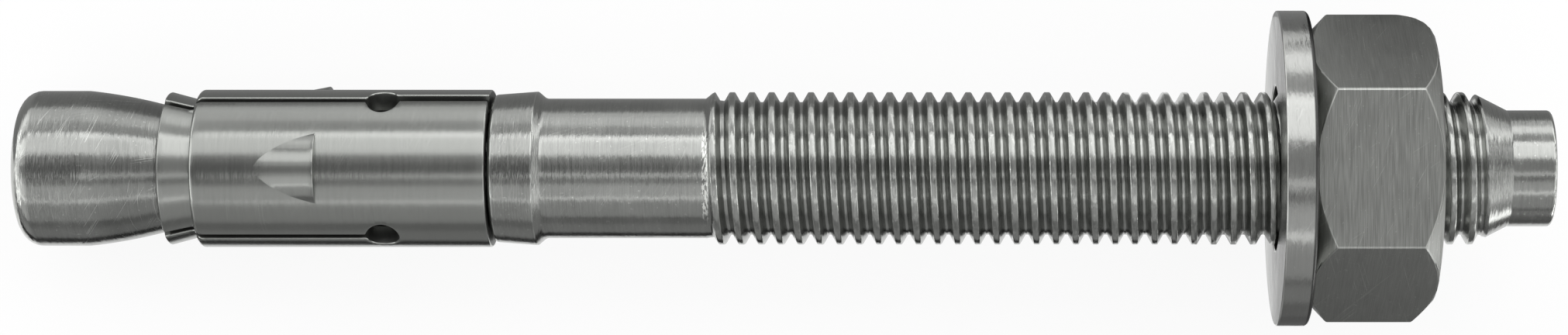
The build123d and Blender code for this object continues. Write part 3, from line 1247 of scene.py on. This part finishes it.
# each end box stands beyond one end of the anchor: its place along the axis and its brightness
END_BOXES = (("left end box", -0.33, 1.2), ("right end box", 0.43, 1.2))
END_BOX_SIZE = (0.5, 0.075)
END_BOX_RISE = 0.045
# place along the axis that the end boxes face
END_BOX_AIM = 0.05
# the tent's distance from the axis, brightness, ends, and degrees to each side of the top
TENT_REACH = BOX_DISTANCE * 1.15
TENT_LEVEL = 0.15
TENT_ENDS = (-0.45, 0.85)
TENT_SIDE = 92.5
TENT_FACES = 24
# each card lies on the floor, a little above the one before it: its near and far edge across the anchor,
# its two ends along it, and its brightness. Beside the washer the floor stays white, which its face shows
CARDS = (
    ("upper card", 0.01, 0.038, -0.4, 0.4, 0.29),
    ("upper left card", 0.003, 0.01, -0.4, 0.021, 0.29),
    ("upper right card", 0.003, 0.01, 0.042, 0.4, 0.29),
    ("lower dark card", -0.0135, -0.0086, -0.4, 0.028, 0.03),
    ("lower right dark card", -0.022, -0.012, 0.028, 0.4, 0.15),
    ("lower card", -0.04, -0.0135, -0.4, 0.028, 0.34),
    ("lower right card", -0.042, -0.022, 0.028, 0.4, 0.22),
    ("far lower card", -0.35, -0.04, -0.4, 0.028, 0.25),
    ("far lower right card", -0.35, -0.042, 0.028, 0.4, 0.36),
    ("washer card", -0.0115, 0.0115, 0.0272, 0.0306, 0.43),
    ("washer glint card", 0.044, 0.075, 0.033, 0.039, 1.35),
    ("nut card", 0.012, 0.038, 0.036, 0.047, 0.02),
    ("far nut card", 0.038, 0.11, 0.04, 0.05, 0.02),
    ("point card", -0.06, -0.021, 0.063, 0.13, 3.0),
)
CARD_HEIGHT = 0.0003
CARD_STEP = 0.00002
FLOOR_HALF = 3
CAMERA_SENSOR = 36
CAMERA_CLIP = (0.01, 20)


def turned_place(along, angle_, distance):
    """A point round the anchor, and the matrix of a lamp there that faces the axis."""
    middle = ANCHOR @ Vector((along, distance * sin(angle_), distance * cos(angle_)))
    turn = ANCHOR.to_3x3() @ Matrix.Rotation(-angle_, 3, "X")
    return Matrix.Translation(middle) @ turn.to_4x4()


def add_lamp(name, size, brightness, matrix):
    """A plain rectangular lamp. Its power is its brightness times pi and its area."""
    lamp = bpy.data.lights.new(name, "AREA")
    lamp.shape = "RECTANGLE"
    lamp.size, lamp.size_y = size
    lamp.energy = brightness * pi * lamp.size * lamp.size_y
    box = new_object(name, lamp)
    box.matrix_world = matrix
    box.visible_camera = False


def add_soft_boxes(stage):
    """Long lamps round the anchor, and one beyond each of its ends."""
    for name, low, high, levels in SOFT_BOXES:
        width = 2 * BOX_DISTANCE * tan(radians(high - low) / 2)
        for start, end, brightness in zip(BOX_ENDS, BOX_ENDS[1:], levels):
            place = turned_place((start + end) / 2, radians((low + high) / 2), BOX_DISTANCE)
            if brightness > 0:
                add_lamp(name, (end - start, width), brightness * stage.lamps, place)
    aim = ANCHOR @ Vector((END_BOX_AIM, 0, 0))
    for name, along, brightness in END_BOXES:
        place = ANCHOR @ Vector((along, 0, END_BOX_RISE))
        turn = (place - aim).to_track_quat("Z", "Y").to_matrix().to_4x4()
        add_lamp(name, END_BOX_SIZE, brightness * stage.lamps, Matrix.Translation(place) @ turn)


def glow(name, brightness):
    """A plain material that only gives off light."""
    material, nodes = new_material(name)
    light = nodes.out("ShaderNodeEmission", None, {"Color": (brightness, brightness, brightness, 1)})
    nodes.add("ShaderNodeOutputMaterial", None, {"Surface": light})
    return material


def add_sheet(name, points, material):
    """A strip of flat faces of the studio. Its points come in pairs, from end to end."""
    data = bpy.data.meshes.new(name)
    faces = [(i, i + 1, i + 3, i + 2) for i in range(0, len(points) - 2, 2)]
    data.from_pydata(points, [], faces)
    data.materials.append(material)
    sheet = new_object(name, data)
    return sheet


def add_card(name, points, brightness):
    """A bright or grey card, which only reflections see."""
    card = add_sheet(name, points, glow(name, brightness))
    card.visible_camera = False
    card.visible_diffuse = False
    card.visible_shadow = False
    card.visible_transmission = False


def add_tent():
    """A grey tent above the anchor, behind the soft boxes, and grey cards beside it on the floor."""
    points = []
    for i in range(TENT_FACES + 1):
        turn = radians(2 * TENT_SIDE * i / TENT_FACES - TENT_SIDE)
        for along in TENT_ENDS:
            points.append(ANCHOR @ Vector((along, TENT_REACH * sin(turn), TENT_REACH * cos(turn))))
    add_card("tent", points, TENT_LEVEL)
    for i, (name, near, far, start, end, brightness) in enumerate(CARDS):
        height = CARD_HEIGHT + i * CARD_STEP
        points = [Vector((x, y, height)) for y in (near, far) for x in (start, end)]
        add_card(name, points, brightness)


def add_floor(stage):
    """A plain pale floor.

    Most of what the camera and reflections see of it is plain background, so its shadow is faint.
    """
    material, nodes = new_material("Floor")
    lit = nodes.out("ShaderNodeBsdfDiffuse", None, {"Color": (*stage.floor, 1)})
    plain = nodes.out("ShaderNodeEmission", None, {"Color": (1, 1, 1, 1), "Strength": stage.background})
    share = seen_directly(nodes) * stage.floor_glow
    shader = nodes.out("ShaderNodeMixShader", None, {0: share, 1: lit, 2: plain})
    nodes.add("ShaderNodeOutputMaterial", None, {"Surface": shader})
    sides = (-FLOOR_HALF, FLOOR_HALF)
    add_sheet("floor", [(x, y, 0) for y in sides for x in sides], material)


def seen_directly(nodes):
    """1 for what the camera, a reflection or glass sees, and 0 for light that falls on things."""
    path = nodes.add("ShaderNodeLightPath")
    seen = Socket(nodes, path.outputs["Is Camera Ray"])
    seen = seen.most(Socket(nodes, path.outputs["Is Glossy Ray"]))
    return seen.most(Socket(nodes, path.outputs["Is Transmission Ray"]))


def set_world(stage):
    """A plain background, which the camera and reflections see, and a soft fill from it."""
    world = bpy.data.worlds.new("Studio")
    bpy.context.scene.world = world
    nodes = fresh_nodes(world)
    strength = stage.fill + seen_directly(nodes) * (stage.background - stage.fill)
    light = nodes.out("ShaderNodeBackground", None, {"Color": (1, 1, 1, 1), "Strength": strength})
    nodes.add("ShaderNodeOutputWorld", None, {"Surface": light})


def add_camera(stage):
    """A camera square to the anchor's axis, whose picture is shifted along it."""
    data = bpy.data.cameras.new("camera")
    data.sensor_width = CAMERA_SENSOR
    data.lens = data.sensor_width * stage.camera_distance / stage.view_width
    data.shift_x = (stage.view_middle - stage.camera_position) / stage.view_width
    data.shift_y = stage.view_rise / stage.view_width
    data.clip_start, data.clip_end = CAMERA_CLIP
    camera = new_object("camera", data)
    place = (stage.camera_position, 0, stage.camera_distance)
    camera.matrix_world = ANCHOR @ Matrix.Translation(place)
    bpy.context.scene.camera = camera


# ---- operators ----


class ANCHOR_OT_bolt(Operator):
    """Make the bolt: cone, neck, collar, shank, rolled thread, point and hammer pin"""

    bl_idname = "anchor.bolt"
    bl_label = "Bolt"

    def execute(self, context):
        settings = context.scene.anchor
        bolt, thread = settings.bolt, settings.thread
        material = piece_steel("Turned steel", "bolt", settings)
        nut_height = thread.crest_radius - thread.root_radius - thread.clearance
        tail = bolt.thread_end + nut_height / tan(bolt.point_angle)
        blank_fall = (bolt.shank_radius - thread.root_radius) / (RUNOUT_TURNS * thread.pitch)
        mesh = wind_thread(
            thread,
            bolt.thread_start,
            tail,
            (thread.root_radius, thread.crest_radius),
            material,
            start_floor=(bolt.shank_radius, -blank_fall),
            start_ceiling=(bolt.shank_radius, CREST_RISE),
            end_floor=(thread.root_radius + 2 * thread.clearance, -END_FALL),
            end_ceiling=(point_radius(bolt, thread, tail), tan(bolt.point_angle)),
        )
        revolve(mesh, head_outline(bolt))
        revolve(mesh, tail_outline(bolt, thread, tail))
        add_piece("bolt", mesh, "bolt", "anchor_bolt", material)
        return {"FINISHED"}


class ANCHOR_OT_clip(Operator):
    """Make the expansion clip: a rolled strip with slots, relief holes, barbs and an open seam"""

    bl_idname = "anchor.clip"
    bl_label = "Expansion clip"

    def execute(self, context):
        settings = context.scene.anchor
        material = piece_steel("Satin sheet steel", "clip", settings)
        mesh = clip_mesh(settings.clip, settings.bolt)
        add_piece("clip", mesh, "clip", "expansion_clip", material)
        return {"FINISHED"}


class ANCHOR_OT_washer(Operator):
    """Make the stamped washer"""

    bl_idname = "anchor.washer"
    bl_label = "Washer"

    def execute(self, context):
        settings = context.scene.anchor
        washer = settings.washer
        corners = [
            (WASHER.start, WASHER.inner, washer.bore_edge),
            (WASHER.start, WASHER.outer, washer.near_edge),
            (WASHER.end, WASHER.outer, washer.far_edge),
            (WASHER.end, WASHER.inner, washer.bore_edge),
        ]
        outline = rounded(corners, closed=True)
        # the rim and bore edge beside the nut get painted shade instead of a brightening
        for point in outline:
            if point.x > (WASHER.start + WASHER.end) / 2:
                point.z *= PAINTED_SHADE_RIM
        mesh = bmesh.new()
        revolve(mesh, outline, closed=True)
        material = piece_steel("Stamped steel", "washer", settings)
        add_piece("washer", mesh, "washer", "flat_washer", material)
        return {"FINISHED"}


class ANCHOR_OT_nut(Operator):
    """Make the hexagon nut with its thread"""

    bl_idname = "anchor.nut"
    bl_label = "Nut"

    def execute(self, context):
        settings = context.scene.anchor
        nut, thread = settings.nut, settings.thread
        material = piece_steel("Cold formed steel", "nut", settings)
        mesh = wind_thread(
            thread,
            NUT.start + nut.mouth,
            NUT.end - nut.mouth,
            (thread.root_radius + 2 * thread.clearance, NUT.inner),
            material,
            start_floor=(NUT.inner, -MOUTH_FALL),
            end_floor=(NUT.inner, -MOUTH_FALL),
            start_ceiling=(NUT.inner, 0),
        )
        loft(mesh, *nut_rings(nut))
        add_piece("nut", mesh, "nut", "hex_nut", material)
        return {"FINISHED"}


class ANCHOR_OT_stage(Operator):
    """Make the floor, the lamps, the background and the camera"""

    bl_idname = "anchor.stage"
    bl_label = "Studio"

    def execute(self, context):
        stage = context.scene.anchor.stage
        add_floor(stage)
        add_tent()
        add_soft_boxes(stage)
        set_world(stage)
        add_camera(stage)
        context.scene.view_settings.view_transform = "Standard"
        return {"FINISHED"}


class VIEW3D_PT_anchor(Panel):
    """Lists the pieces of the anchor"""

    bl_label = "Wedge Anchor"
    bl_space_type = "VIEW_3D"
    bl_region_type = "UI"
    bl_category = "Anchor"

    def draw(self, context):
        for operator in OPERATORS:
            self.layout.operator(operator.bl_idname)


SIZES = (ThreadSizes, BoltSizes, ClipSizes, WasherSizes, NutSizes)
GROUPS = SIZES + (SteelColours, StageSettings, AnchorSettings)
OPERATORS = (ANCHOR_OT_bolt, ANCHOR_OT_clip, ANCHOR_OT_washer, ANCHOR_OT_nut, ANCHOR_OT_stage)
CLASSES = GROUPS + OPERATORS + (VIEW3D_PT_anchor,)


def register():
    for cls in CLASSES:
        bpy.utils.register_class(cls)
    bpy.types.Scene.anchor = PointerProperty(type=AnchorSettings)


def unregister():
    del bpy.types.Scene.anchor
    for cls in reversed(CLASSES):
        bpy.utils.unregister_class(cls)


def main():
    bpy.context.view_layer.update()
    register()
    bpy.ops.anchor.bolt()
    bpy.ops.anchor.clip()
    bpy.ops.anchor.washer()
    bpy.ops.anchor.nut()
    bpy.ops.anchor.stage()


if __name__ == "__main__":
    main()
